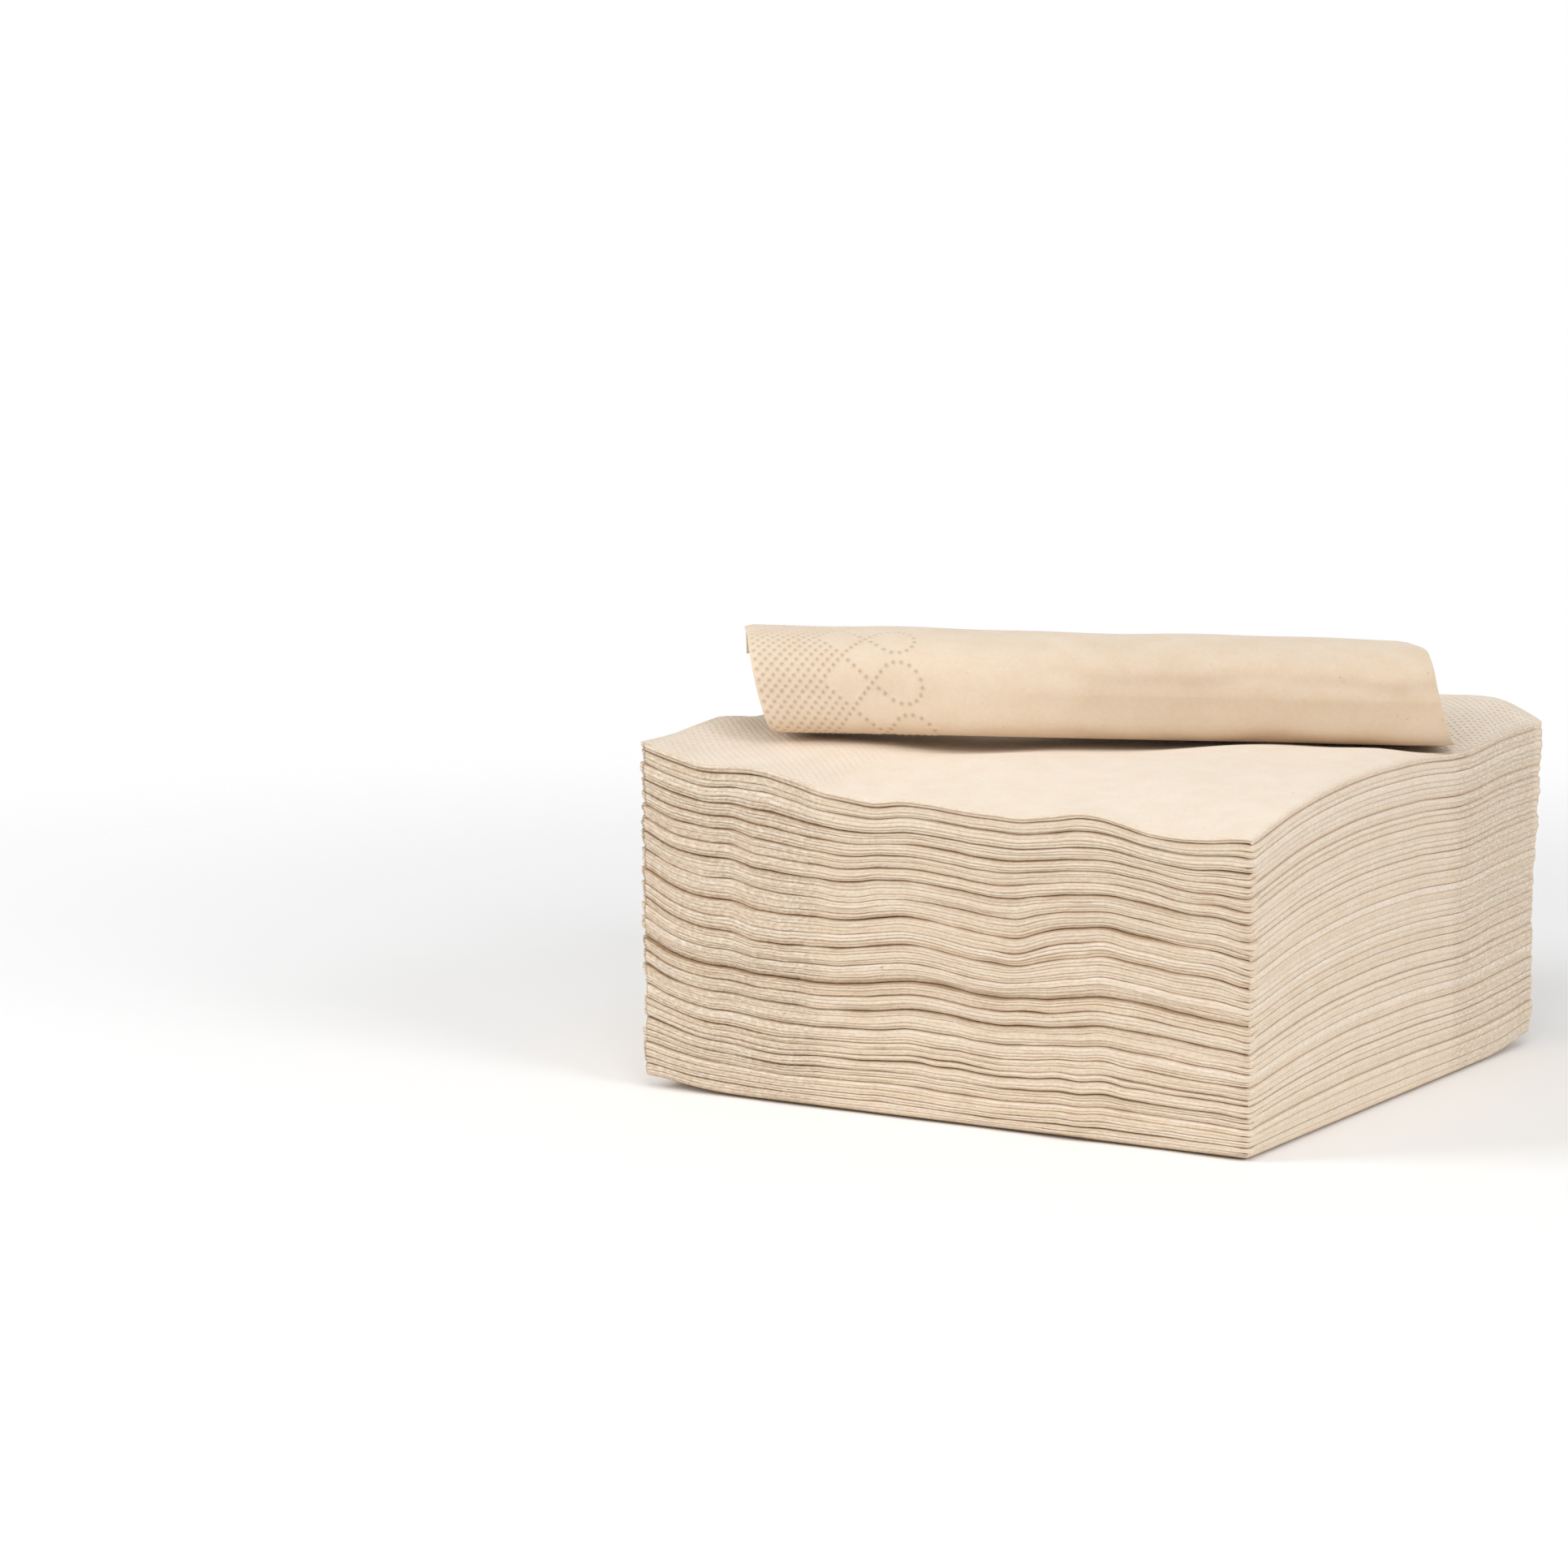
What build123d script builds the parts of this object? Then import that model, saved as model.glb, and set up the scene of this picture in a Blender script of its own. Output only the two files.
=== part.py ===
"""Stack of square paper napkins, each folded twice, with one rolled napkin lying on top.

Millimetres, +Z up. The origin is the middle of the stack's underside. Every napkin is a square
sheet folded in half at the -Y side and then in half again at the +X side, so both folds meet at
the corner (+X, -Y), and the cut edges of all four layers show on the -X and +Y sides.
"""
from build123d import *

import math
import os

# The paper and its folds
SHEET_SIDE = 330.0        # side of one unfolded napkin
LAYER = 0.31              # one sheet of soft tissue, as thick as it lies in the stack
LAYER_GAP = 0.08          # air between two layers of one napkin
FOLD_BULGE = 0.26         # how far the second fold rounds out past its flat layers
NOSE_LENGTH = 0.45        # solid paper at the first fold, before the layers part
FOLD_PRESS = 0.10         # how much each leaf is pressed in at its first fold, above and below

# The stack
NAPKIN_COUNT = 50
NAPKIN_GAP = 0.06         # air between two napkins
SHIFT = 0.35              # how far the napkins lie out of line with each other
BORDER_WIDTH = 56.0       # embossed strip along the -X side, looser than the rest
BORDER_RISE = 4.5         # extra height of the stack at the -X side
FOLD_SINK = 3.0           # height that the stack loses towards the second folds
SHOULDER_WIDTH = 34.0     # strip along the -Y side that the first folds press flat
SHOULDER_RISE = 6.0       # extra height of the stack behind that strip
BACK_RISE = 10.0          # extra height of the stack at the +Y side

# The rolled napkin
ROLL_HEIGHT = 24.8        # outside height of the roll
ROLL_FLAT = 15.0          # straight run between the roll's round front and round back
FLAP_ANGLE = 52.0         # degrees that the outer end reaches down the back, from the top
ROLL_GAP = 0.6            # air between the turns of the roll
ROLL_ANGLE = 29.9         # degrees from +X to the roll's axis
ROLL_X = -64.5            # end of the roll nearest the -X side, where its round front begins
ROLL_Y = -50.4
SEAT_GAP = 0.05           # air between the roll and the napkin that it lies on
SEAT_STATIONS = 60        # places along the roll where that air is worked out

# Sizes that follow from these
NAPKIN_SIDE = SHEET_SIDE / 2
HALF = NAPKIN_SIDE / 2
NAPKIN = 4 * LAYER + 3 * LAYER_GAP
PITCH = NAPKIN + NAPKIN_GAP
STACK_HEIGHT = NAPKIN_COUNT * PITCH - NAPKIN_GAP
BORDER_X = -HALF + BORDER_WIDTH
SHOULDER_Y = -HALF + SHOULDER_WIDTH


def straight(value, start, end, start_rise, end_rise):
    """Height on the straight line through two heights, carried on past both ends."""
    share = (value - start) / (end - start)
    return start_rise + share * (end_rise - start_rise)


def rise_across(x):
    """Extra height of the stack's top at x: a loose border, then a gentle fall to the folds."""
    if x < BORDER_X:
        return straight(x, -HALF, BORDER_X, BORDER_RISE, 0)
    return straight(x, BORDER_X, HALF, 0, -FOLD_SINK)


def rise_along(y):
    """Extra height of the stack's top at y: pressed flat in front, then nearly level."""
    if y < SHOULDER_Y:
        return straight(y, -HALF, SHOULDER_Y, 0, SHOULDER_RISE)
    return straight(y, SHOULDER_Y, HALF, SHOULDER_RISE, BACK_RISE)


def level(height, x, y):
    """Z of the paper that would lie at this height in a level stack.

    The lowest napkin is flat, and those above it take up the rise by degrees, so surfaces at
    different heights never cross.
    """
    return height * (1 + (rise_across(x) + rise_along(y)) / STACK_HEIGHT)


def sheet(height, y, *stations):
    """Points of one paper surface at y, from station to station along X."""
    return [(x, y, level(height, x, y)) for x in stations]


def leaves_section(low, left, fold, y, press):
    """Section at y through both leaves of a napkin, joined by the round second fold.

    The slit between the leaves opens to -X. The press narrows each leaf, above and below.
    """
    high = low + NAPKIN
    middle = low + NAPKIN / 2
    slit_half = LAYER_GAP / 2 + press
    slit_end = fold - 2 * LAYER - LAYER_GAP
    over = sheet(high - press, y, fold, BORDER_X, left)
    slit_roof = sheet(middle + slit_half, y, left, BORDER_X, slit_end)
    slit_floor = sheet(middle - slit_half, y, slit_end, BORDER_X, left)
    under = sheet(low + press, y, left, BORDER_X, fold)
    round_fold = (fold + FOLD_BULGE, y, level(middle, fold, y))
    outline = Polyline(*over, *slit_roof, *slit_floor, *under)
    return Wire([*outline.edges(), ThreePointArc(under[-1], round_fold, over[0])])


def layer_gap_section(low, left, fold, y):
    """Section at y through the air between the outer and the inner pair of layers."""
    high = low + NAPKIN
    outer_end = fold - LAYER
    inner_end = outer_end - LAYER_GAP
    outer_floor = sheet(low + LAYER, y, left, BORDER_X, outer_end)
    outer_roof = sheet(high - LAYER, y, outer_end, BORDER_X, left)
    inner_roof = sheet(high - LAYER - LAYER_GAP, y, left, BORDER_X, inner_end)
    inner_floor = sheet(low + LAYER + LAYER_GAP, y, inner_end, BORDER_X, left)
    return Polyline(*outer_floor, *outer_roof, *inner_roof, *inner_floor, close=True)


def folded_napkin(place):
    """The napkin at this place in the stack, counted from 0 at the bottom.

    Both leaves are one loft from the pressed first folds to the cut edges behind. The air between
    the layers of each leaf is cut out from the cut edges, and stops short of the first folds.
    """
    low = place * PITCH
    left = -HALF + SHIFT * math.sin(2.4 * place)
    fold = left + NAPKIN_SIDE - FOLD_BULGE
    front = -HALF + SHIFT * math.sin(1.7 * place + 1)
    back = front + NAPKIN_SIDE
    pressed = leaves_section(low, left, fold, front, FOLD_PRESS)
    leaves = [pressed] + [leaves_section(low, left, fold, y, 0) for y in (SHOULDER_Y, back)]
    past_edges = (front + NOSE_LENGTH, SHOULDER_Y, back + LAYER)
    gap = [layer_gap_section(low, left - LAYER, fold, y) for y in past_edges]
    return Solid.make_loft(leaves, ruled=True) - Solid.make_loft(gap, ruled=True)


def roll_line(offset, trim, extra):
    """Edges of the rolled sheet's outline, an offset outwards from the middle of its thickness.

    A flap down the back, the top, the round front, the underside, the round back inside the flap,
    and a second turn inside the first. Each half turn is smaller than the one before it. The trim
    shortens the flap, and the extra lengthens the inner end.
    """
    step = NAPKIN + ROLL_GAP
    radius = (ROLL_HEIGHT - NAPKIN) / 2
    half_turns = (radius, radius - step / 2, radius - step)
    flap_radius = radius + step / 2
    flap = math.radians(FLAP_ANGLE) * flap_radius
    inner_end = NAPKIN_SIDE - flap - 3 * ROLL_FLAT - math.pi * sum(half_turns)
    centre = (ROLL_FLAT, NAPKIN / 2 + half_turns[1])
    flap_arc = CenterArc(centre, flap_radius + offset, 90 - FLAP_ANGLE, FLAP_ANGLE)
    flap_arc = flap_arc.trim(trim / flap, 1)
    edges = [flap_arc, Line(flap_arc @ 1, flap_arc @ 1 + flap_arc % 1 * ROLL_FLAT)]
    for half_turn, length in zip(half_turns, (ROLL_FLAT, ROLL_FLAT, inner_end + extra)):
        bend = JernArc(edges[-1] @ 1, edges[-1] % 1, half_turn + offset, 180)
        edges += [bend, Line(bend @ 1, bend @ 1 + bend % 1 * length)]
    return edges


def roll_band(thickness, trim, extra):
    """Face of a band that follows the roll, half its thickness to each side."""
    outside = roll_line(thickness / 2, trim, extra)
    inside = roll_line(-thickness / 2, trim, extra)
    ends = [Line(outside[0] @ 0, inside[0] @ 0), Line(outside[-1] @ 1, inside[-1] @ 1)]
    return make_face(outside + inside + ends)


def roll_seat():
    """Plane of the roll's end, with its X away from the front and its Y up.

    The axis leans with the stack's top, from the highest point under one end to the highest under
    the other, and is then lifted until the underside clears the top everywhere.
    """
    turn = math.radians(ROLL_ANGLE)
    ahead = Vector(math.cos(turn), math.sin(turn), 0)
    across = Vector(-math.sin(turn), math.cos(turn), 0)
    start = Vector(ROLL_X, ROLL_Y, 0)

    def top_under_roll(along):
        edges = [start + ahead * along + across * aside for aside in (0, ROLL_FLAT)]
        return max(level(STACK_HEIGHT, edge.X, edge.Y) for edge in edges)

    fall = (top_under_roll(NAPKIN_SIDE) - top_under_roll(0)) / NAPKIN_SIDE
    stations = [NAPKIN_SIDE * share / SEAT_STATIONS for share in range(SEAT_STATIONS + 1)]
    seat = SEAT_GAP + max(top_under_roll(along) - fall * along for along in stations)
    return Plane(origin=start + Vector(0, 0, seat), x_dir=across, z_dir=ahead + Vector(0, 0, fall))


def rolled_napkin():
    """The loose napkin: two leaves joined at the flap, rolled up and laid on the stack."""
    leaves = roll_band(NAPKIN, 0, 0)
    slit = roll_band(LAYER_GAP, 2 * LAYER, LAYER)
    return extrude(roll_seat() * (leaves - slit), NAPKIN_SIDE)


os.makedirs("parts", exist_ok=True)
for place in range(NAPKIN_COUNT):
    export_step(folded_napkin(place), f"parts/napkin_{place + 1:02d}.step")
export_step(rolled_napkin(), "parts/rolled_napkin.step")
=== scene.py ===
# %% [markdown]
# # A stack of folded paper napkins
#
# Fifty napkins of soft unbleached tissue lie in a stack, and one more lies rolled up on top. Each is a
# square sheet folded in half and in half again. The eye reads such a stack by its edges: one round
# fold for each napkin on the right, two smaller folds for each on the front, and four cut edges for
# each on the two sides behind. They could be painted on a block as stripes, but no light would fall
# between them. So every napkin is a mesh of its own here, made from arrays of points.

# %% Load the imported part
import math

import bpy
import numpy as np
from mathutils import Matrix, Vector


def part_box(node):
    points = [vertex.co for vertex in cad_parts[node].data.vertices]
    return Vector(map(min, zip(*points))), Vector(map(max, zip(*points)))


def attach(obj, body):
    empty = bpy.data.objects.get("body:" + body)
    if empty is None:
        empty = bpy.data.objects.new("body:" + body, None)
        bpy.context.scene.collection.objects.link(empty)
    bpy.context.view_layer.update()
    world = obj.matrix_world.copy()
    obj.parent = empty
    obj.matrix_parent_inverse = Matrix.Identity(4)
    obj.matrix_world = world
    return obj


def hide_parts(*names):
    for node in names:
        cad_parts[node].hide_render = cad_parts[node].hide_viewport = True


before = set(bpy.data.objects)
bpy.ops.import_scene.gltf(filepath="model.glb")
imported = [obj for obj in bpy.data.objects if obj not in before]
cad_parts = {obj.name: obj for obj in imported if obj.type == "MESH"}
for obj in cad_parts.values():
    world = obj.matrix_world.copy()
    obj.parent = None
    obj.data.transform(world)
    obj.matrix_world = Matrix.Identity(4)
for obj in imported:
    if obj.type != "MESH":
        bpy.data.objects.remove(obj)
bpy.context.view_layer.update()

MM = 0.001
NAPKIN_NODES = sorted(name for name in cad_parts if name.startswith("napkin_"))
COUNT = len(NAPKIN_NODES)
random = np.random.default_rng(12)

# %% [markdown]
# ## The top of the stack
#
# A real stack isn't a block. Where both folds meet, at the near corner, the paper is pressed flat,
# and towards the cut edges it is loose and stands higher. Such a shape could be sculpted by hand or
# settled by a cloth simulation, but neither can be put right by a millimetre. Here the height of the
# top is given at a few places along each side, a smooth curve runs through them, and the
# surface between is blended from the four curves (a Coons patch).

# %% Height of the top
low_corner, high_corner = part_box(NAPKIN_NODES[0])
SIDE = round((high_corner.x - low_corner.x) / MM, 1)
HALF = SIDE / 2
PITCH = 1.54                     # height of one napkin with the air above it, in mm
STACK = COUNT * PITCH            # height of a level stack, in mm
FRONT_TOP = ((-82.5, 85.0), (-72, 81.9), (-52, 80.7), (-40, 79.2), (-27, 76.8), (0, 76.7), (20, 75.4),
             (42, 76.4), (68, 73.5), (77, 74.3), (82.5, 74.6))
RIGHT_TOP = ((-82.5, 74.6), (-58, 79.4), (-34, 81.9), (8, 82.4), (40, 80.7), (60, 82.1), (82.5, 82.6))
LEFT_TOP = ((-82.5, 85.2), (-64, 85.6), (-46, 87.4), (-24, 85.8), (20, 86.2), (82.5, 87.0))
BACK_TOP = ((-82.5, 87.0), (0, 87.2), (54, 88.0), (72, 87.2), (82.5, 82.6))
ROLL_FOOT = ((-68.5, -43.5), (76.5, 39.8))   # two points of the line that the roll lies along, in mm
ROLL_LENGTH = SIDE + 2           # loosely rolled paper stands a little longer than the stack is wide
ROLL_WIDTH = 40.0                # mm
PRESSED = (0.6, 2.6)             # how deep the roll presses into the top, at its left and right end, in mm
PRESSED_HALF = 0.52 * ROLL_WIDTH     # half the width of the hollow that it presses, in mm
roll_run = np.subtract(ROLL_FOOT[1], ROLL_FOOT[0])
ROLL_AHEAD = roll_run / np.linalg.norm(roll_run)     # direction of the roll from left to right


def through(points, x):
    """Smooth curve through points: a cubic on each span, with the mean slope of its neighbours."""
    px, py = np.array(points, float).T
    slope = np.gradient(py, px)
    x = np.clip(x, px[0], px[-1])
    k = np.clip(np.searchsorted(px, x) - 1, 0, len(px) - 2)
    width = px[k + 1] - px[k]
    t = (x - px[k]) / width
    start = (1 + 2 * t) * (1 - t) ** 2 * py[k] + t * (1 - t) ** 2 * width * slope[k]
    return start + t * t * (3 - 2 * t) * py[k + 1] + t * t * (t - 1) * width * slope[k + 1]


def smooth(x, start, end):
    """Eased step from 0 at start to 1 at end."""
    t = np.clip((x - start) / (end - start), 0, 1)
    return t * t * (3 - 2 * t)


def between(ends, share):
    """Value on the straight line from the left end's to the right end's, at a share of the way."""
    return ends[0] + (ends[1] - ends[0]) * share


def pressed_by_roll(x, y):
    """Depth of the flat hollow under the roll, which fades out beside it, past its ends and at the rim."""
    from_left, from_front = x - ROLL_FOOT[0][0], y - ROLL_FOOT[0][1]
    run = from_left * ROLL_AHEAD[0] + from_front * ROLL_AHEAD[1]
    aside = from_front * ROLL_AHEAD[0] - from_left * ROLL_AHEAD[1]
    depth = between(PRESSED, np.clip(run / ROLL_LENGTH, 0, 1))
    ends = smooth(run, -12, 4) * (1 - smooth(run, ROLL_LENGTH - 4, ROLL_LENGTH + 12))
    return depth * ends * np.exp(-(aside / PRESSED_HALF) ** 4) * smooth(HALF - np.abs(x), 0, 9)


def top_height(x, y):
    """Height of the top: blend front to back, plus blend left to right, less the four corners."""
    u = np.clip((x + HALF) / SIDE, 0, 1)
    v = np.clip((y + HALF) / SIDE, 0, 1)
    along = (1 - v) * through(FRONT_TOP, x) + v * through(BACK_TOP, x)
    across = (1 - u) * through(LEFT_TOP, y) + u * through(RIGHT_TOP, y)
    front = (1 - u) * FRONT_TOP[0][1] + u * FRONT_TOP[-1][1]
    back = (1 - u) * BACK_TOP[0][1] + u * BACK_TOP[-1][1]
    return along + across - (1 - v) * front - v * back - pressed_by_roll(x, y)


corners = np.array([(-HALF, -HALF), (HALF, -HALF), (HALF, HALF), (-HALF, HALF)])
print("height of the top at its four corners, in mm:", np.round(top_height(*corners.T), 1))

# %% [markdown]
# ## The sheets below the top
#
# The napkins inside follow the shape of the top. It fades near the table, where the lowest one lies
# flat, but halfway up it is still strong, and there the soft front sags and swells a little more. Each
# napkin could be given a shape of its own, and would then cut into its neighbours. Instead, one function
# gives the height of any sheet at any place, and it always grows from the table to the top.

# %% Height of any sheet
FADE_HEIGHT = 22.0               # height over which the shape of the top comes in, in mm
FRONT_MIDDLE = ((-82.5, -2.0), (-61, -4.5), (-36, -4.6), (-26, -2.8), (0, 0.0), (14, -0.7), (46, 2.4),
                (55, 2.6), (70, 1.4), (82.5, -0.5))      # sag and swell of the front at half height, in mm
MIDDLE_REACH = 45.0              # how far in from the front that is seen, in mm
CORNER_LIFT = 2.4                # how far two bottom corners stand off the table, in mm
CORNER_REACH = 14.0              # how far in from the corner that is seen, in mm
CORNER_DEPTH = 16.0              # height over which the lift fades, in mm
EDGE_LIFT = 1.1                  # how far the lowest edges curl up off the table, in mm
EDGE_REACH = 1.5                 # how far in from the edge that is seen, in mm
EDGE_DEPTH = 2.5                 # height over which the curl fades, in mm


def level(height, x, y):
    """Z of paper at a height of the level stack.

    The height, plus the share of the top's shape that is left there, the sag of the front, a soft bump
    at two lifted corners, and the curl of the lowest edges.
    """
    inside = np.clip(height, 0, STACK)
    share = (1 - np.exp(-inside / FADE_HEIGHT)) / (1 - math.exp(-STACK / FADE_HEIGHT))
    front = np.exp(-((y + HALF) / MIDDLE_REACH) ** 2) * np.sin(math.pi * inside / STACK)
    left_corner = np.exp(-((x + HALF) ** 2 + (y + HALF) ** 2) / CORNER_REACH ** 2)
    right_corner = np.exp(-((x - HALF) ** 2 + (y - HALF) ** 2) / CORNER_REACH ** 2)
    rim = np.clip(HALF - np.maximum(np.abs(x), np.abs(y)), 0, None)
    lift = CORNER_LIFT * (left_corner + right_corner) * np.exp(-height / CORNER_DEPTH)
    lift = lift + EDGE_LIFT * np.exp(-rim / EDGE_REACH - height / EDGE_DEPTH)
    return height + (top_height(x, y) - STACK) * share + through(FRONT_MIDDLE, x) * front + lift


print("front at half height, in mm:", np.round(level(STACK / 2, np.linspace(-HALF, HALF, 7), -HALF), 1))

# %% [markdown]
# ## The line round a napkin
#
# Seen from above, a folded napkin is a square whose corners are a little rounded, because soft paper
# doesn't fold to a point. A bevel on a cube would give that line too, but here every point must also
# know which way is out and what kind of edge it belongs to. So the line is worked out once, as
# arrays, with closer points on the two sides that show the folds.

# %% Points round the edge
CORNER_RADIUS = 1.3              # mm
SIDE_POINTS = (148, 140, 56, 56)     # front, right, back and left, in the order of the walk
ARC_POINTS = 4


def outline():
    """Rounded square as two arrays, the place and the outward direction of each point."""
    places, normals = [], []
    for side, count in enumerate(SIDE_POINTS):
        turn = side * math.pi / 2
        out = np.array([math.sin(turn), -math.cos(turn)])
        ahead = np.array([math.cos(turn), math.sin(turn)])
        run = np.linspace(-1, 1, count, endpoint=False) * (HALF - CORNER_RADIUS)
        bend = np.linspace(0, math.pi / 2, ARC_POINTS, endpoint=False)[:, None]
        arc = np.cos(bend) * out + np.sin(bend) * ahead
        corner = (out + ahead) * (HALF - CORNER_RADIUS)
        places += [out * HALF + run[:, None] * ahead, corner + arc * CORNER_RADIUS]
        normals += [np.tile(out, (count, 1)), arc]
    return np.concatenate(places), np.concatenate(normals)


EDGE, OUT = outline()
COLUMNS = len(EDGE)
steps = np.linalg.norm(np.roll(EDGE, -1, axis=0) - EDGE, axis=1)
ROUND = steps.sum()
ALONG = np.cumsum(steps) - steps
front, right = smooth(-OUT[:, 1], 0.2, 0.9), smooth(OUT[:, 0], 0.2, 0.9)
FRONT_FOLD = front / np.maximum(front + right, 1)     # share of each point that belongs to the small folds
BIG_FOLD = right / np.maximum(front + right, 1)       # and to the big folds
CUT = 1 - FRONT_FOLD - BIG_FOLD                       # and to the cut edges
print(f"{COLUMNS} points round a napkin, {ROUND:.1f} mm in all")

# %% [markdown]
# ## Uneven paper
#
# Soft paper never stacks evenly. Noise on every point would make it fuzzy, not paper-like: an edge
# rises and falls slowly and smoothly, and its neighbours follow it. So random values are set
# at even distances along the edge, with smooth curves between them. Some are for one napkin alone,
# and others are spread from the table to the top, for waves that many napkins share.

# %% Smooth random curves
def wander(rows, spacing):
    """Smooth random curves round the edge, one a row: random values at even knots, eased between."""
    knots = max(int(round(ROUND / spacing)), 4)
    values = random.standard_normal((rows, knots))
    position = ALONG / ROUND * knots
    k = np.floor(position).astype(int) % knots
    t = smooth(position - np.floor(position), 0, 1)
    return values[:, k] * (1 - t) + values[:, (k + 1) % knots] * t


def blend(curves, height):
    """Curves spread from the table to the top, eased into each other, read at these heights."""
    position = np.clip(height / STACK, 0, 1) * (len(curves) - 1)
    k = np.minimum(position.astype(int), len(curves) - 2)
    t = smooth(position - k, 0, 1)
    column = np.arange(COLUMNS)
    return curves[k, column] * (1 - t) + curves[k + 1, column] * t


CALM = 1 - 0.85 * BIG_FOLD       # the big folds are pressed in the machine, and lie much straighter
RIPPLE = 0.36 * CALM * (wander(6, 17) + 0.5 * wander(6, 8))
DENT = 0.28 * CALM * wander(5, 13)


def ripple(height):
    """Waves that many napkins share, in mm: small rises and falls of the edge, none at the table."""
    return blend(RIPPLE, height) * smooth(height, 0, 14)


print(f"shared waves of up to {np.abs(RIPPLE).max():.1f} mm")

# %% [markdown]
# ## Napkins that cling together
#
# Napkins cling together in ones, twos and threes. Each such lot bulges a little, catches the light along its
# upper edge, which is also painted lighter as a painted highlight, and a gap stands open above it, painted
# brown as painted shade. Even gaps above every napkin would be simpler, but would look like a printed grid.
# Thickness and gaps are drawn at random for each napkin, and are then scaled so that they fill the height
# exactly.

# %% Thickness and gaps
NAPKIN_SHARE = 0.985             # share of the stack's height that is paper
lot = random.choice([1, 2, 2, 3], COUNT)     # napkins in each lot, with more lots than are needed
lot_end = np.cumsum(lot)
LOT_OF = np.searchsorted(lot_end, np.arange(COUNT), side="right")
LOT_SIZE = lot[LOT_OF]
LOT_LOW = lot_end[LOT_OF] - LOT_SIZE
IS_LOT_TOP = np.arange(COUNT) + 1 == lot_end[LOT_OF]
OPENNESS = np.where(IS_LOT_TOP, random.uniform(0.9, 2.2, COUNT), random.uniform(0.03, 0.35, COUNT))


def stacked_heights():
    """Lowest and highest height of each napkin along its edge, by adding up thickness and gaps."""
    thick = 1 + random.normal(0, 0.1, (COUNT, 1))
    thick = thick + CALM * (0.06 * wander(COUNT, 30) + 0.03 * wander(COUNT, 6))
    broken = 0.8 + CALM * (0.5 * wander(COUNT, 20) + 0.4 * wander(COUNT, 5))
    gap = OPENNESS[:, None] * np.clip(broken, 0.04, 2.2)
    thick = thick / thick.sum(0) * STACK * NAPKIN_SHARE
    gap = gap / gap.sum(0) * STACK * (1 - NAPKIN_SHARE)
    high = np.cumsum(thick + gap, axis=0) - gap
    return high - thick, high


LOW, HIGH = stacked_heights()
LOT_COUNT = LOT_OF[-1] + 1
gap_count = LOT_COUNT + 1        # below each lot, and above the last
along_gap = CALM * (0.35 * wander(gap_count, 22) + 0.2 * wander(gap_count, 6))
STRENGTH = np.clip(0.8 + random.normal(0, 0.35, (gap_count, 1)) + along_gap, 0.1, 1.7)
print(f"{LOT_COUNT} lots, gaps of strength {STRENGTH.min():.1f} to {STRENGTH.max():.1f}, "
      f"napkins {(HIGH - LOW).min():.2f} to {(HIGH - LOW).max():.2f} mm thick")

# %% [markdown]
# ## Edges that stand proud
#
# A stack squared up by hand keeps edges that stand out or lie back by a fraction of a millimetre, and
# each throws a thin shadow on the one below. Moving whole napkins would show that on straight
# edges, but paper also bends. So each napkin gets a different shift on each side, plus
# smooth curves along it. The near corner is frayed, and the upper napkins fan out at the far right corner.

# %% How far each edge stands out
LAYERS = 4                       # layers of paper in a sheet folded twice
CORNER_FLARE = 2.0               # how far the upper napkins spread at the far right corner, in mm
CORNER_FRAY = 0.4                # how unevenly they end at the near corner, in mm


def by_side(spread):
    """A random shift for each napkin and side, in mm, for every point of the edge."""
    side = np.argmax(np.stack([-OUT[:, 1], OUT[:, 0], OUT[:, 1], -OUT[:, 0]]), axis=0)
    return random.normal(0, spread, (COUNT, 4))[:, side]


far_corner = np.hypot(EDGE[:, 0] - HALF, EDGE[:, 1] - HALF)
near_corner = np.hypot(EDGE[:, 0] - HALF, EDGE[:, 1] + HALF)
PROUD = by_side(0.22)[LOT_OF] + by_side(0.1) + blend(DENT, HIGH)
PROUD = PROUD + CALM * (0.12 * wander(COUNT, 40) + 0.08 * wander(COUNT, 12) + 0.05 * wander(COUNT, 4))
PROUD = PROUD + CORNER_FLARE * OUT[:, 1].clip(0) * np.exp(-(far_corner / 30) ** 2) * smooth(HIGH, 30, 76)
PROUD = PROUD + np.exp(-(near_corner / 3) ** 2) * random.normal(0, CORNER_FRAY, (COUNT, 1))
LAYER_PROUD = np.stack([by_side(0.1) + 0.06 * wander(COUNT, 6) for _ in range(LAYERS)], axis=1)
SLIT = random.uniform(0.05, 0.3, COUNT)      # depth of the dip between the two small folds, in mm
PINCH = np.exp(-(near_corner / 2) ** 2) * FRONT_FOLD * random.uniform(0.05, 0.4, (COUNT, 1))
print(f"edges stand out by {PROUD.min():.2f} to {PROUD.max():.2f} mm")

# %% [markdown]
# ## Meshes from arrays
#
# A napkin is closed all round: an edge that goes once round it, and an upper and a lower face.
# Modelling it by hand, or with solidify and subdivision, would put points evenly everywhere. Built from
# rings of points it has many where the edge shows, and few in the middle, which no one sees.

# %% Rings, faces and objects
COARSER = 4                      # edge points to one point of the hidden rings
SHARP_ANGLE = math.radians(55)   # two faces that meet at more than this show a crease


def ring_faces(first, second, count):
    """Quads between two closed rings that start at these vertex numbers, the first ring on top."""
    a = np.arange(count)
    b = (a + 1) % count
    return np.stack([first + a, second + a, second + b, first + b], axis=1)


def coarser_faces(fine, coarse, count):
    """Triangles between a ring and one with fewer points: five for each group of four edges."""
    group = np.arange(count // COARSER)
    f = fine + (group[:, None] * COARSER + np.arange(COARSER + 1)) % count
    c = coarse + group
    d = coarse + (group + 1) % (count // COARSER)
    threes = [(f[:, 1], c, f[:, 0]), (f[:, 2], c, f[:, 1]), (d, c, f[:, 2]), (f[:, 3], d, f[:, 2]),
              (f[:, 4], d, f[:, 3])]
    return np.concatenate([np.stack(three, axis=1) for three in threes])


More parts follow.
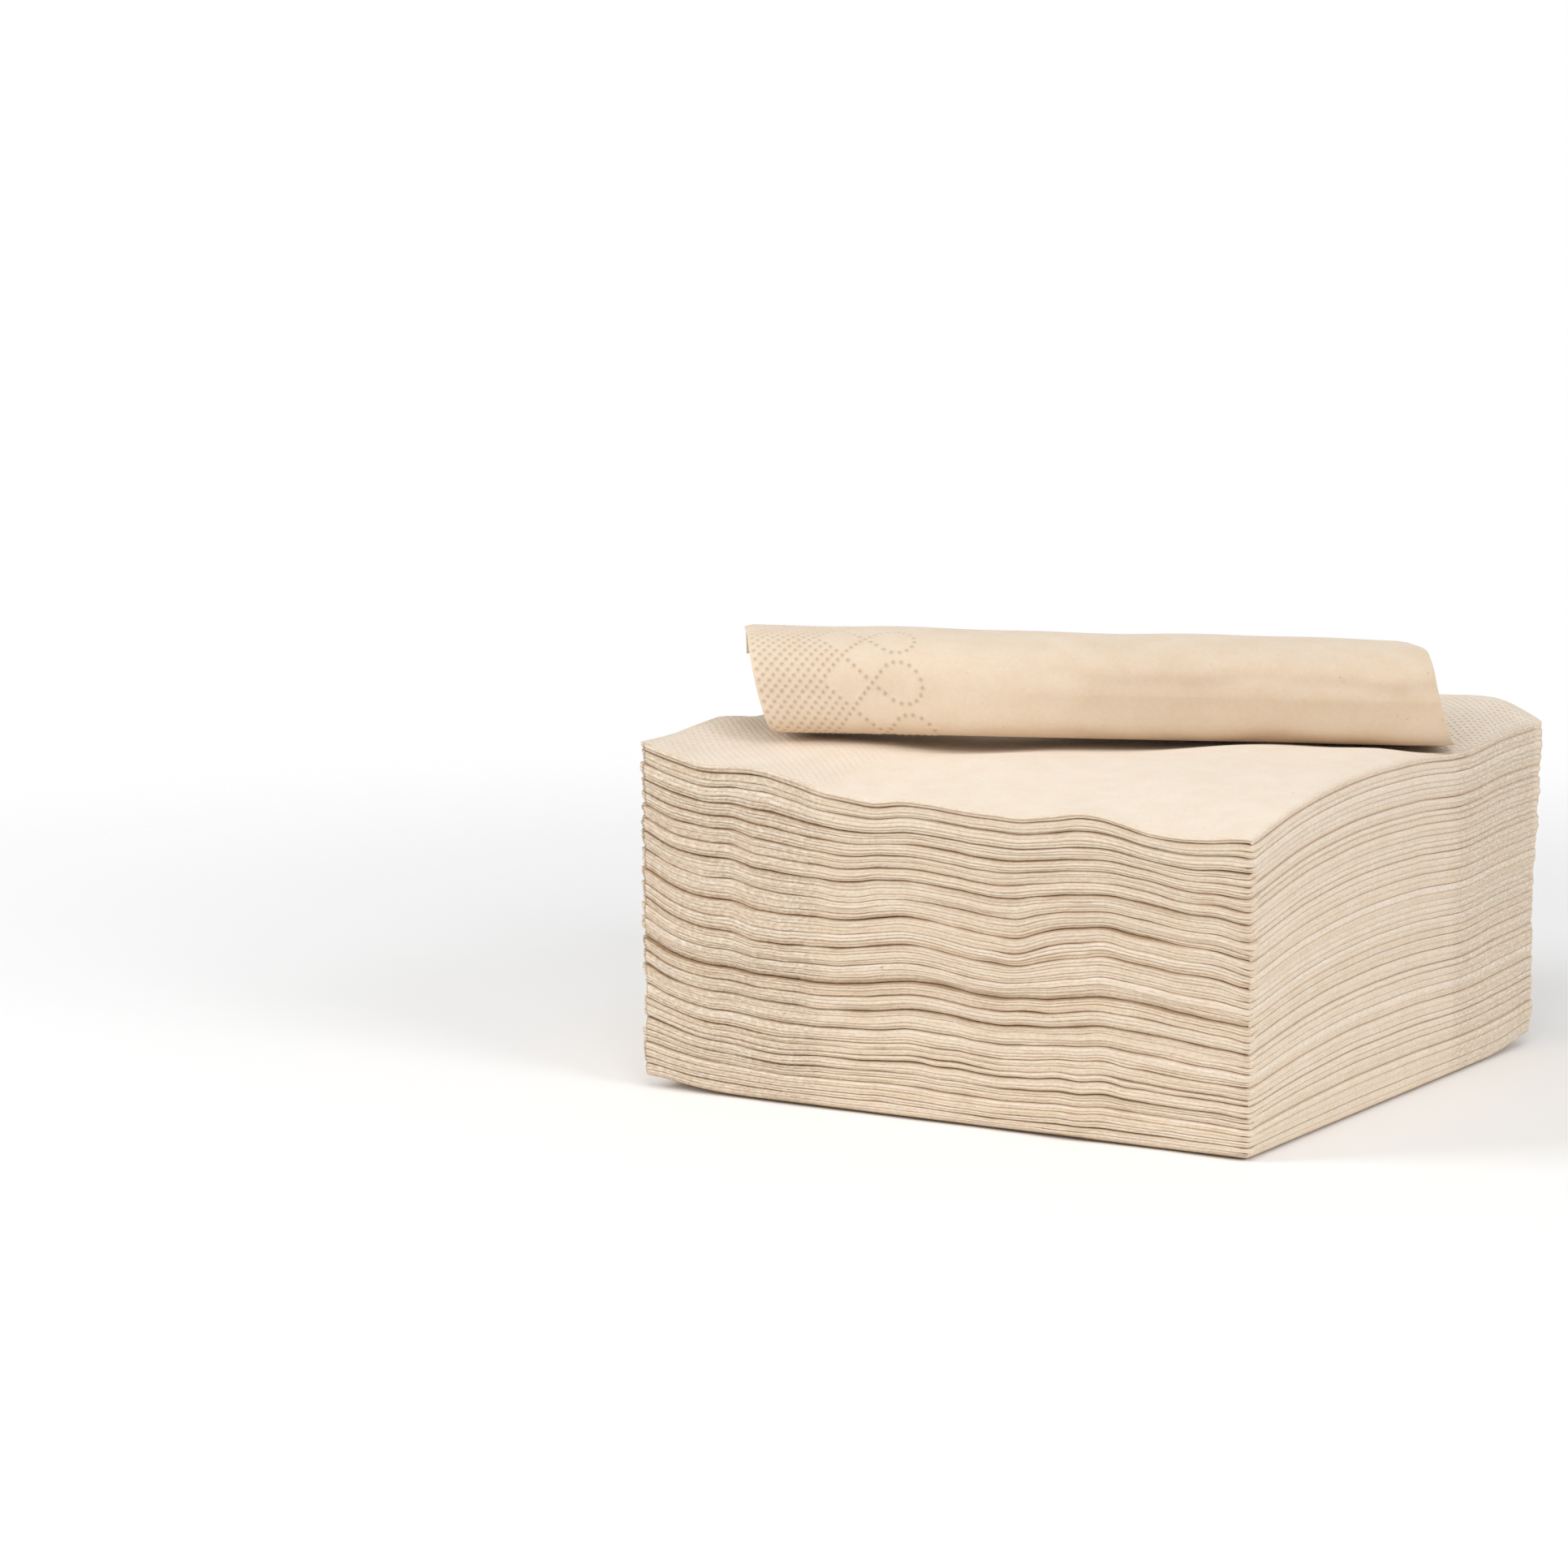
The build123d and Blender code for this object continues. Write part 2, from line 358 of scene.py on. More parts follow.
def mesh_object(name, points, quads, triangles, values):
    """New object from arrays: points in mm, faces by vertex number, and named values for each point."""
    corners = np.concatenate([quads.ravel(), triangles.ravel()])
    face_sizes = np.repeat([4, 3], [len(quads), len(triangles)])
    mesh = bpy.data.meshes.new(name)
    mesh.vertices.add(len(points))
    mesh.vertices.foreach_set("co", (points * MM).astype(np.float32).ravel())
    mesh.loops.add(len(corners))
    mesh.loops.foreach_set("vertex_index", corners.astype(np.int32))
    mesh.polygons.add(len(face_sizes))
    mesh.polygons.foreach_set("loop_start", (np.cumsum(face_sizes) - face_sizes).astype(np.int32))
    mesh.polygons.foreach_set("use_smooth", np.ones(len(face_sizes), bool))
    for label, data in values.items():
        layer = mesh.attributes.new(label, "FLOAT", "POINT")
        layer.data.foreach_set("value", np.broadcast_to(data, len(points)).astype(np.float32).ravel())
    mesh.update(calc_edges=True)
    mesh.validate()
    mesh.set_sharp_from_angle(angle=SHARP_ANGLE)
    piece = bpy.data.objects.new(name, mesh)
    bpy.context.collection.objects.link(piece)
    return piece


# %% [markdown]
# ## The edge of a napkin
#
# On the right, the edge is one round fold. On the front it is two smaller folds, one above the other, and
# on the cut sides it is four layers with gaps between them. Three profiles could be swept along
# their own sides and then joined at the corners. It is simpler to give every point of the outline the
# same rows of points from top to bottom, and to mix the three profiles by the kind of edge.

# %% Rows of points down the edge
GAP_DEPTH = 0.9                  # how deep a gap between two cut layers goes in, in mm
FULL_SHADE_DEPTH = 0.7                # how far back the paper lies where it gets the full painted shade, in mm
LOT_ROUND = (0.5, 0.12, 0.25)    # how far a lot's upper and lower edge lie back: front, right, cut sides
FOLD_ROUND = (0.08, 0.12)        # the same for one napkin: front and right
LOT_LEAN = 0.6                   # how much further out a lot stands at its upper edge, in mm
layer_rows = np.array([0.02, 0.125, 0.23])     # upper edge, middle and lower edge of the first layer
PROFILE = np.concatenate([np.append(layer / LAYERS + layer_rows, (layer + 1) / LAYERS)
                          for layer in range(LAYERS)])[:-1]
LAYER_OF_ROW = np.minimum((PROFILE * LAYERS - 1e-6).astype(int), LAYERS - 1)
IS_GAP = np.isclose(PROFILE * LAYERS % 1, 0)


def nose(share):
    """How far a round nose lies back: 0 in the middle of its height, 1 at both ends."""
    return 1 - np.sqrt(np.clip(1 - (2 * share - 1) ** 2, 0, 1))


def share_of_lot(place):
    """Where the rows of one napkin lie in its lot: 0 at the lot's lower edge, 1 at its upper edge."""
    return (place + 1 - PROFILE - LOT_LOW[place]) / LOT_SIZE[place]


def edge_rows(place):
    """Points of one napkin's edge, rows down the profile by columns round it, and how much painted shade each
    gets.
    """
    share = share_of_lot(place)[:, None]
    lot_nose = nose(share) * np.where(share > 0.5, STRENGTH[LOT_OF[place] + 1], STRENGTH[LOT_OF[place]])
    rows = PROFILE[:, None]
    small = LOT_ROUND[0] * lot_nose + FOLD_ROUND[0] * nose(rows) + SLIT[place] * nose(2 * rows % 1)
    big = LOT_ROUND[1] * lot_nose + FOLD_ROUND[1] * nose(rows)
    cut = LOT_ROUND[2] * lot_nose + np.where(IS_GAP, GAP_DEPTH, 0)[:, None]
    back = FRONT_FOLD * small + BIG_FOLD * big + CUT * cut
    leaf_proud = LAYER_PROUD[place][2 * (LAYER_OF_ROW // 2)] * ~np.isclose(PROFILE, 0.5)[:, None]
    layer_proud = LAYER_PROUD[place][LAYER_OF_ROW] * ~IS_GAP[:, None]
    offset = PROUD[place] - back + FRONT_FOLD * leaf_proud + CUT * layer_proud
    offset = offset + LOT_LEAN * (share - 0.5) * (1 - 0.6 * BIG_FOLD)
    x = EDGE[:, 0] + OUT[:, 0] * offset
    y = EDGE[:, 1] + OUT[:, 1] * offset
    thick = (HIGH[place] - LOW[place]) * (1 - PINCH[place])
    height = (HIGH[place] + LOW[place]) / 2 + thick * (0.5 - rows)
    points = np.stack([x, y, level(height, x, y) + ripple(height)], axis=-1)
    # Painted shade: paper that lies further back in a gap or groove is painted browner.
    return points, np.clip(back / FULL_SHADE_DEPTH, 0, 1)


print(f"{len(PROFILE)} rows of points, {IS_GAP.sum()} of them in gaps between layers")

# %% [markdown]
# ## The faces of a napkin
#
# Only the topmost face is seen whole. Leaving out the hidden ones would save points, but each napkin
# is a piece that can be taken off the stack, so all are closed. Rings get smaller from the edge
# to a point in the middle, and follow the shape of the stack.

# %% Upper and lower face
RINGS = (2.2,)                   # inset of the fine rings, in mm
INNER_RINGS = (9.0, 28.0, 56.0)  # inset of the coarse rings, in mm
TOP_RINGS = (2.2, 4.0) + tuple(range(6, 81, 3))     # inset of the rings on the topmost face, in mm


def flat_ring(place, inset, step, upper):
    """One ring of the upper or the lower face, a smaller square inside the outline."""
    x, y = (EDGE * (1 - inset / HALF)).T
    even = (place + NAPKIN_SHARE * upper) * PITCH
    uneven = (HIGH if upper else LOW)[place]
    share = smooth(inset, 0, 14)
    height = uneven * (1 - share) + even * share
    return np.stack([x, y, level(height, x, y) + ripple(height) * (1 - share)], axis=-1)[::step]


def cap(place, upper, first, rim, fine, coarse):
    """Points and faces that close one side of a napkin, from the rim row in to its centre."""
    points, quads, triangles = [], [], []
    outer, count = rim, COLUMNS
    for inset in fine + coarse:
        step = COARSER if inset in coarse else 1
        points.append(flat_ring(place, inset, step, upper))
        if count == len(points[-1]):
            quads.append(ring_faces(first, outer, count))
        else:
            triangles.append(coarser_faces(outer, first, count))
        outer, count = first, len(points[-1])
        first += count
    points.append(flat_ring(place, HALF, COLUMNS, upper))
    a = np.arange(count)
    triangles.append(np.stack([np.full(count, first), outer + a, outer + (a + 1) % count], axis=1))
    turn = 1 if upper else -1
    return np.concatenate(points), np.concatenate(quads)[:, ::turn], np.concatenate(triangles)[:, ::turn]


# %% [markdown]
# ## All the napkins
#
# Each napkin gets its edge and two faces, and a few values for each point that the material
# reads later: how much painted shade it gets for its depth in a gap, how light its layer is (its own
# random tone, with a painted highlight on the upper edge of a lot), and where the paper is embossed. The
# material could guess some of this from the shape, but here, where the mesh is made, it is known exactly.

# %% Build the napkins
BORDER_WIDTH = 50.0              # embossed strip along the two cut edges, in mm
LEFT_BORDER = 0.5                # depth of the one along the left, which is nearly pressed flat
BACK_BORDER = 1.2                # depth of the one behind
FACE_TONE = 0.75                 # how light the flat faces are, from 0 to 1
EDGE_TONE = 0.4                  # the same for the edges
TONE_SPREAD = 0.14               # how unlike the layers are
CREST_HIGHLIGHT = 0.45                # painted highlight: how much lighter the upper edge of a lot is painted, where it catches the light
HIDDEN_SHADE = 0.8               # painted shade on the faces between two napkins, from 0 to 1
TOP_RIM = 0.3                    # part of the topmost edge that lies open to the light and gets no painted shade
FACE_TURN = RINGS[0] / PITCH     # width of the outermost ring of a face, in napkin thicknesses
LAYER_TONE = random.normal(0, 1, (COUNT, LAYERS))


def border_band(distance):
    """Embossed strip along a cut edge: 1 inside the strip, 0 outside, with soft sides."""
    return smooth(distance, 0.5, 3) * (1 - smooth(distance, BORDER_WIDTH - 3, BORDER_WIDTH + 3))


def napkin_values(place, points, shade_amount, upper_count):
    """Values for the points of one napkin: first those of its edge, then its upper and its lower face.

    Distances along the edge go on over the outermost ring of each face, where the beads run out.
    """
    edge_count = shade_amount.size
    upper_end = edge_count + upper_count
    tone = np.full(len(points), FACE_TONE)
    # Painted highlight: the upper edge of each lot is painted lighter, where it would catch the light.
    light = EDGE_TONE + TONE_SPREAD * LAYER_TONE[place][LAYER_OF_ROW] + CREST_HIGHLIGHT * share_of_lot(place) ** 3
    tone[:edge_count] = np.repeat(light, COLUMNS).clip(0, 1)
    # Painted shade: hidden faces and the edge are painted brown where shade falls; the top face and the rim
    # of the topmost edge are not.
    painted_shade = np.full(len(points), HIDDEN_SHADE)
    painted_shade[:edge_count] = shade_amount.ravel()
    if place == COUNT - 1:
        painted_shade[edge_count:upper_end] = 0
        painted_shade[:edge_count] *= np.repeat(PROFILE > TOP_RIM, COLUMNS)
    along, leaf = np.zeros((2, len(points)))
    along[:edge_count] = np.tile(ALONG, len(PROFILE))
    leaf[:edge_count] = np.repeat(2 * (place + 1 - PROFILE), COLUMNS)
    for first, height in ((edge_count, place + 1 + FACE_TURN), (upper_end, place - FACE_TURN)):
        along[first:first + COLUMNS] = ALONG
        leaf[first:first + COLUMNS] = 2 * height
    on_edge = np.arange(len(points)) < edge_count
    left, back = border_band(points[:, 0] + HALF), border_band(HALF - points[:, 1])
    border = np.maximum(LEFT_BORDER * left, BACK_BORDER * back) * ~on_edge
    rough = (0.5 + 0.5 * np.maximum(left, back)) * on_edge
    return {"tone": tone, "painted_shade": painted_shade, "border": border, "rough": rough, "along": along, "leaf": leaf}


def napkin(place, name):
    """One folded napkin: the edge, an upper face and a lower face, closed all round."""
    rows, shade_amount = edge_rows(place)
    edge = rows.reshape(-1, 3)
    last_row = len(PROFILE) - 1
    quads = [ring_faces(row * COLUMNS, (row + 1) * COLUMNS, COLUMNS) for row in range(last_row)]
    fine, coarse = (TOP_RINGS, ()) if place == COUNT - 1 else (RINGS, INNER_RINGS)
    upper = cap(place, True, len(edge), 0, fine, coarse)
    lower = cap(place, False, len(edge) + len(upper[0]), last_row * COLUMNS, RINGS, INNER_RINGS)
    points = np.concatenate([edge, upper[0], lower[0]])
    quads = np.concatenate(quads + [upper[1], lower[1]])
    triangles = np.concatenate([upper[2], lower[2]])
    return mesh_object(name, points, quads, triangles, napkin_values(place, points, shade_amount, len(upper[0])))


napkins = [napkin(place, node + "_paper") for place, node in enumerate(NAPKIN_NODES)]
triangle_counts = [len(piece.data.loops) - 2 * len(piece.data.polygons) for piece in napkins]
print(f"napkins of {min(triangle_counts)} to {max(triangle_counts)} triangles, {sum(triangle_counts)} in all")

# %% [markdown]
# ## The rolled napkin
#
# The loose napkin is rolled up about one and a half times. Seen from its end, it is a flattened spiral:
# the outer end hangs down the back, the paper comes over the top and down the front, goes
# under, and ends inside. A curve with a bevel would give a tube. Here the spiral is a formula, so the
# paper can be measured along it, and the emboss is laid on the flat sheet before it is rolled.

# %% The spiral
ROLL_PAPER = 1.2                 # thickness of the folded paper where it is rolled, in mm
ROLL_HEIGHT = (27.0, 26.6)       # at the left and at the right end, in mm
TOP_SQUARE = 2.4                 # 2 for a plain ellipse, more for a flatter top
FOOT_SQUARE = 5.0                # the same for the underside
ROLL_STEP = 2.3                  # how much closer each turn lies than the one before, in mm
OUTER_END = math.radians(76)     # turn from the top to the outer end, down the back
LOW_FRONT = 0.78                 # the low front lies here, as a share of the half turn from top to underside
SPIRAL_SAMPLES = 4000


def spiral(height, angle):
    """Middle of the paper, seen from the roll's end: an ellipse that shrinks as the angle grows."""
    turned = angle / (2 * math.pi) * ROLL_STEP
    across = (ROLL_WIDTH - ROLL_PAPER) / 2 - turned
    upright = (height - ROLL_PAPER) / 2 - turned
    s, c = np.sin(OUTER_END - angle), np.cos(OUTER_END - angle)
    power = np.where(c > 0, 2 / TOP_SQUARE, 2 / FOOT_SQUARE)
    return (across * np.sign(s) * np.abs(s) ** power,
            height / 2 + upright * np.sign(c) * np.abs(c) ** power)


SPIRAL_ANGLE = np.linspace(0, 4.5 * math.pi, SPIRAL_SAMPLES)
spiral_steps = np.hypot(*np.diff(spiral(np.mean(ROLL_HEIGHT), SPIRAL_ANGLE)))
SPIRAL_RUN = np.concatenate([[0], np.cumsum(spiral_steps)])
turns = OUTER_END + math.pi * np.array([0, LOW_FRONT, 1])
TOP_AT, LOW_FRONT_AT, FOOT_AT = np.interp(turns, SPIRAL_ANGLE, SPIRAL_RUN)
print(f"the paper passes the top at {TOP_AT:.1f} mm and the underside at {FOOT_AT:.1f} mm")

# %% [markdown]
# ## The emboss
#
# Napkins are embossed along their cut edges, which also holds the plies together: rows of small pits that
# cross, and beyond them a border of loops. A bump map would do for flat paper, but the roll is seen
# from close by, so its pits are real dents. The design is generic: crossing rows
# that end in points, two legs that run on from each pair of points, cross, and close in a round loop.

# %% Pits on the flat sheet
LOOP_PITCH = 12.6                # from one loop to the next, in mm
LOOP_START = 7.6                 # from the outer end of the sheet to the middle of the first loop, in mm
LOOP_TIP = 22.5                  # how far from the napkin's edge the crossing rows reach, in mm
LOOP_RADIUS = 5.0                # mm
LEG_PITS = 5                     # pits on a leg, from a point to where the legs cross
PIT_PITCH = LOOP_PITCH / 2 * math.sqrt(2) / LEG_PITS
PIT_RADIUS = 0.42                # mm
PIT_DEPTH = 0.28                 # mm


def loop_pits():
    """Places of the pits of one loop: two legs at 45 degrees, and the round part that joins them."""
    run = np.arange(1, LEG_PITS + 3) * PIT_PITCH / math.sqrt(2)
    turn = np.linspace(-2.2, 2.2, 12)
    centre = LOOP_TIP + LOOP_PITCH / 2 + LOOP_RADIUS * math.sqrt(2)
    along = np.concatenate([LOOP_TIP + run, LOOP_TIP + run, centre + LOOP_RADIUS * np.cos(turn)])
    paper = np.concatenate([LOOP_PITCH / 2 - run, run - LOOP_PITCH / 2, LOOP_RADIUS * np.sin(turn)])
    return np.stack([along, paper], axis=1)


def pits(along, paper):
    """Depth of the emboss from 0 to 1, at distances along the roll and along the paper, in mm.

    Each pit is a round bell. The crossing rows are a grid turned by 45 degrees, kept up to a zigzag
    line. Over the top of the roll the pits are pulled nearly flat, and inside it they are pressed flat.
    """
    pulled = 0.3 + 0.7 * smooth(paper, TOP_AT + 2, TOP_AT + 14)
    pulled = pulled * (1 - smooth(paper, FOOT_AT - 4, FOOT_AT))
    paper = paper - LOOP_START
    a = (along - LOOP_TIP + paper - LOOP_PITCH / 2) / math.sqrt(2) / PIT_PITCH
    b = (along - LOOP_TIP - paper + LOOP_PITCH / 2) / math.sqrt(2) / PIT_PITCH
    row_a, row_b = np.round(a), np.round(b)
    pit_along = LOOP_TIP + (row_a + row_b) * PIT_PITCH / math.sqrt(2)
    pit_paper = LOOP_PITCH / 2 + (row_a - row_b) * PIT_PITCH / math.sqrt(2)
    zigzag = LOOP_TIP - np.abs(pit_paper % LOOP_PITCH - LOOP_PITCH / 2)
    kept = (pit_along > 1) & (pit_along < zigzag + 0.1)
    depth = np.exp(-((a - row_a) ** 2 + (b - row_b) ** 2) * (PIT_PITCH / PIT_RADIUS) ** 2) * kept
    beside = (paper + LOOP_PITCH / 2) % LOOP_PITCH - LOOP_PITCH / 2
    for pit in loop_pits():
        away = (along - pit[0]) ** 2 + (beside - pit[1]) ** 2
        depth = np.maximum(depth, np.exp(-away / PIT_RADIUS ** 2))
    return depth * pulled


print(f"pits {PIT_PITCH:.2f} mm apart, {len(loop_pits())} of them on each loop")

# %% [markdown]
# ## The sheet, rolled up and laid down
#
# The sheet is rolled by hand, so its ends aren't square: the paper runs askew by a few millimetres
# between top and underside. A soft ridge runs along the right part of the front, where an inner turn
# presses from inside. Its low front and its foot are painted browner, as painted shade. Bending a flat
# grid with modifiers would do, but then the seat would be a guess.
# As a formula, the roll can be set down until its underside just clears the top of the stack.

# %% Build the roll
ROLL_SKEW = 6.4                  # how far the sheet's ends run askew from top to underside, in mm
FLAP_SHIFT = (0.8, 3.2)          # how much further its outer end is shifted, left and right, in mm
INNER_SHIFT = (-2.0, 10.0)       # the same for its inner end
RIDGE = 1.2                      # height of the ridge, in mm
RIDGE_TURN = math.radians(77)    # turn from the top to the ridge, down the front
RIDGE_HALF = 0.22                # half its width, in radians
HOLLOW = 0.9                     # depth of the hollow below the ridge, in mm
HOLLOW_BELOW = 0.62              # how far below the ridge it lies, in radians
HOLLOW_HALF = 0.28               # half its width, in radians
ROLL_SEAT = 0.1                  # air under the roll, in mm
ROLL_TONE = 0.3                  # how light the rolled paper is, from 0 to 1
PIT_SHADE = 0.85                 # painted shade in the pits, from 0 to 1
FRONT_SHADE = 0.42               # the same for the low front
FOOT_SHADE = 0.6                 # and for the foot
FOOT_SHADE_HEIGHT = 1.6                  # height over which the painted shadow under the foot fades, in mm
FINE_STEP = PIT_PITCH / 4.2      # closer points where the pits are
COARSE_COUNT = 44                # points along the rest, each way
PITS_END = LOOP_TIP + LOOP_PITCH / 2 + LOOP_RADIUS * (1 + math.sqrt(2)) + 1.5     # mm along the roll


def fine_then_coarse(change, end):
    """Distances from 0 to the end, in mm: fine steps up to the change, and a few coarse ones after it."""
    return np.concatenate([np.arange(0, change, FINE_STEP), np.linspace(change, end, COARSE_COUNT)])


def skew(share, paper):
    """How far the sheet is shifted along the roll, in mm, for a share of its length and a place on it."""
    down = np.clip((paper - TOP_AT) / (LOW_FRONT_AT - TOP_AT), 0, 1)
    flap = between(FLAP_SHIFT, share) * (1 - smooth(paper, TOP_AT - 4, TOP_AT + 9))
    inner = between(INNER_SHIFT, share) * smooth(paper, FOOT_AT + 2, FOOT_AT + 26)
    return -ROLL_SKEW * (1 - down ** 2.3) - flap - inner


def uneven_front(along, angle):
    """How far the paper stands out, in mm: a wandering ridge with a hollow below it, and soft waves."""
    turn = OUTER_END - angle
    from_ridge = turn + RIDGE_TURN - 0.09 * np.sin(along / 9) - 0.05 * np.sin(along / 3.7)
    ridge = RIDGE * np.exp(-(from_ridge / RIDGE_HALF) ** 2)
    hollow = HOLLOW * np.exp(-((from_ridge + HOLLOW_BELOW) / HOLLOW_HALF) ** 2)
    waves = 0.20 * np.sin(along / 13 + 1.3 * angle) + 0.12 * np.sin(along / 5.7 - 2.1 * angle)
    return (ridge - hollow) * smooth(along, 48, 95) + waves * smooth(-np.cos(turn), 1, 0.3)


def roll_points(along, paper, side):
    """Points of the roll's outer (side 1) or inner (side -1) face, along the line that it lies on."""
    share = along / ROLL_LENGTH
    height = between(ROLL_HEIGHT, share)
    angle = np.interp(paper, SPIRAL_RUN, SPIRAL_ANGLE)
    u, w = spiral(height, angle)
    du, dw = [after - before for after, before in zip(spiral(height, angle + 0.01), (u, w))]
    size = np.hypot(du, dw)
    from_end = np.minimum(np.minimum(along, ROLL_LENGTH - along), np.minimum(paper, SIDE - paper))
    thin = ROLL_PAPER / 2 * (0.35 + 0.65 * smooth(from_end, 0, 2.2))
    push = side * thin + uneven_front(along, angle) - PIT_DEPTH * pits(along, paper)
    run, aside = along + skew(share, paper), u - dw / size * push
    x = ROLL_FOOT[0][0] + ROLL_AHEAD[0] * run - ROLL_AHEAD[1] * aside
    y = ROLL_FOOT[0][1] + ROLL_AHEAD[1] * run + ROLL_AHEAD[0] * aside
    foot = between([level(STACK, *place) for place in ROLL_FOOT], run / ROLL_LENGTH)
    return np.stack([x, y, foot + w + du / size * push], axis=-1)


def rolled_napkin(name):
    """Outer and inner face of the roll on one grid, joined round all four edges of the paper."""
    along, paper = np.meshgrid(fine_then_coarse(PITS_END, ROLL_LENGTH),
                               fine_then_coarse(FOOT_AT + 2, SIDE), indexing="ij")
    index = np.arange(along.size).reshape(along.shape)
    points = np.concatenate([roll_points(along, paper, side).reshape(-1, 3) for side in (1, -1)])
    above = points[:, 2] - level(STACK, points[:, 0], points[:, 1])
    lift = ROLL_SEAT - above.min()
    points[:, 2] += lift
    quads = np.stack([index[:-1, :-1], index[:-1, 1:], index[1:, 1:], index[1:, :-1]], axis=-1)
    quads = quads.reshape(-1, 4)
    rim = np.concatenate([index[:-1, 0], index[-1, :-1], index[:0:-1, -1], index[0, :0:-1]])
    after = np.roll(rim, -1)
    rim_quads = np.stack([after, after + along.size, rim + along.size, rim], axis=1)
    faces = np.concatenate([quads, quads[:, ::-1] + along.size, rim_quads])
    # Painted shade: the pits, the low front of the right part and the paper close over the stack under the
    # foot are painted browner.
    low_front_shade = smooth(along, 45, 100) * smooth(paper, TOP_AT, LOW_FRONT_AT)
    painted_shade = np.tile((PIT_SHADE * pits(along, paper) + FRONT_SHADE * low_front_shade).ravel(), 2)
    painted_shade = painted_shade + FOOT_SHADE * np.clip(np.exp(-(above + lift) / FOOT_SHADE_HEIGHT), 0, 1)
    values = dict.fromkeys(("border", "rough", "along", "leaf"), 0.0)
    values.update({"tone": ROLL_TONE, "painted_shade": np.clip(painted_shade, 0, 1)})
    print(f"roll of {2 * len(faces)} triangles, lifted by {lift:.2f} mm")
    return mesh_object(name, points, faces, np.zeros((0, 3), int), values)


roll = rolled_napkin("rolled_napkin_paper")

# %% [markdown]
# ## Unbleached tissue paper
#
# The paper is soft tissue made from unbleached pulp: matte, a warm cream colour, faintly mottled where
# the fibres lie thicker, with a few darker specks. A scanned picture of paper would look right
# only at one size. Noise in real millimetres works at any, and the values stored with the meshes put
# the painted shade of the gaps and the beads of the embossed edges where they belong.

# %% Colours and helpers for nodes
PAPER_LIGHT = "F6E8D7"
PAPER_DARK = "E6D0B5"
PAPER_SHADE = "A98A66"             # colour of the painted shade deep between two layers, where light has passed through paper
FIBRE_SPECK = "B08A60"
MOTTLE_SIZE = 7.0                # mm
FIBRE_SIZE = 0.9                 # mm, coarser than real fibres, which would be too fine to draw
SPECK_SIZE = 1.6                 # mm
BEAD_SIZE = 1.5                  # mm
FELT_DEPTH = 0.3                 # mm
LIGHT_DEPTH = 1.2                # how far light spreads inside the paper, in mm


def linear(code):
    """sRGB hex value to linear red, green, blue and alpha."""
    values = [int(code[k:k + 2], 16) / 255 for k in (0, 2, 4)]
    return [v / 12.92 if v <= 0.04045 else ((v + 0.055) / 1.055) ** 2.4 for v in values] + [1.0]


def add(tree, kind, settings=(), **inputs):
    """New node with its settings, and its inputs, by name or as i0, i1, ..., linked or set to a value."""
    node = tree.nodes.new(kind)
    for key, value in dict(settings).items():
        setattr(node, key, value)
    for key, value in inputs.items():
        socket = node.inputs[int(key[1:]) if key[1:].isdigit() else key.replace("_", " ")]
        if isinstance(value, bpy.types.NodeSocket):
            tree.links.new(value, socket)
        else:
            socket.default_value = value
    return node


def sums(tree, operation, *inputs):
    """Output of a math node on two or three values."""
    numbered = {f"i{k}": value for k, value in enumerate(inputs)}
    return add(tree, "ShaderNodeMath", {"operation": operation}, **numbered).outputs[0]


def mix(tree, share, start, end):
    """Colour between a start and an end colour."""
    return add(tree, "ShaderNodeMix", {"data_type": "RGBA"}, i0=share, i6=start, i7=end).outputs[2]


def stored(tree, name):
    """Value stored with the points of the mesh under this name."""
    return add(tree, "ShaderNodeAttribute", {"attribute_name": name}).outputs["Fac"]


# %% [markdown]
# ## The pattern pressed into the paper
#
# The flat faces carry the same crossing rows of pits as the roll, and on the edges the pits show as
# beads along each fold. As real dents they would need millions of points, so on these faces they are
# a bump and a slight painted shade, which the eye can't tell from dents at this size.

# %% Pits and beads
def pressed_pattern(tree, place):
    """Depth of pits and beads from 0 to 1.

    Pits: distance to the middle of a square cell, turned by 45 degrees. Beads: noise that runs along the
    edge, one step for each leaf of paper.
    """
    turned = add(tree, "ShaderNodeMapping", Vector=place, Rotation=(0, 0, math.pi / 4),
                 Scale=(1 / (PIT_PITCH * MM), 1 / (PIT_PITCH * MM), 0)).outputs[0]
    cell = add(tree, "ShaderNodeVectorMath", {"operation": "FRACTION"}, i0=turned).outputs[0]
    aside = add(tree, "ShaderNodeVectorMath", {"operation": "DISTANCE"}, i0=cell, i1=(0.5, 0.5, 0))
    pit = add(tree, "ShaderNodeMapRange", {"interpolation_type": "SMOOTHSTEP"}, Value=aside.outputs["Value"],
              From_Min=0.1, From_Max=0.34, To_Min=1.0, To_Max=0.0).outputs[0]
    steps = sums(tree, "DIVIDE", stored(tree, "along"), BEAD_SIZE)
    lie = add(tree, "ShaderNodeCombineXYZ", X=steps, Y=stored(tree, "leaf")).outputs[0]
    noise = add(tree, "ShaderNodeTexNoise", Vector=lie, Scale=1.0, Detail=2.0).outputs["Fac"]
    bead = add(tree, "ShaderNodeMapRange", Value=noise, From_Min=0.42, From_Max=0.62).outputs[0]
    beads = sums(tree, "MULTIPLY", bead, stored(tree, "rough"))
    return sums(tree, "MULTIPLY_ADD", pit, stored(tree, "border"), beads)
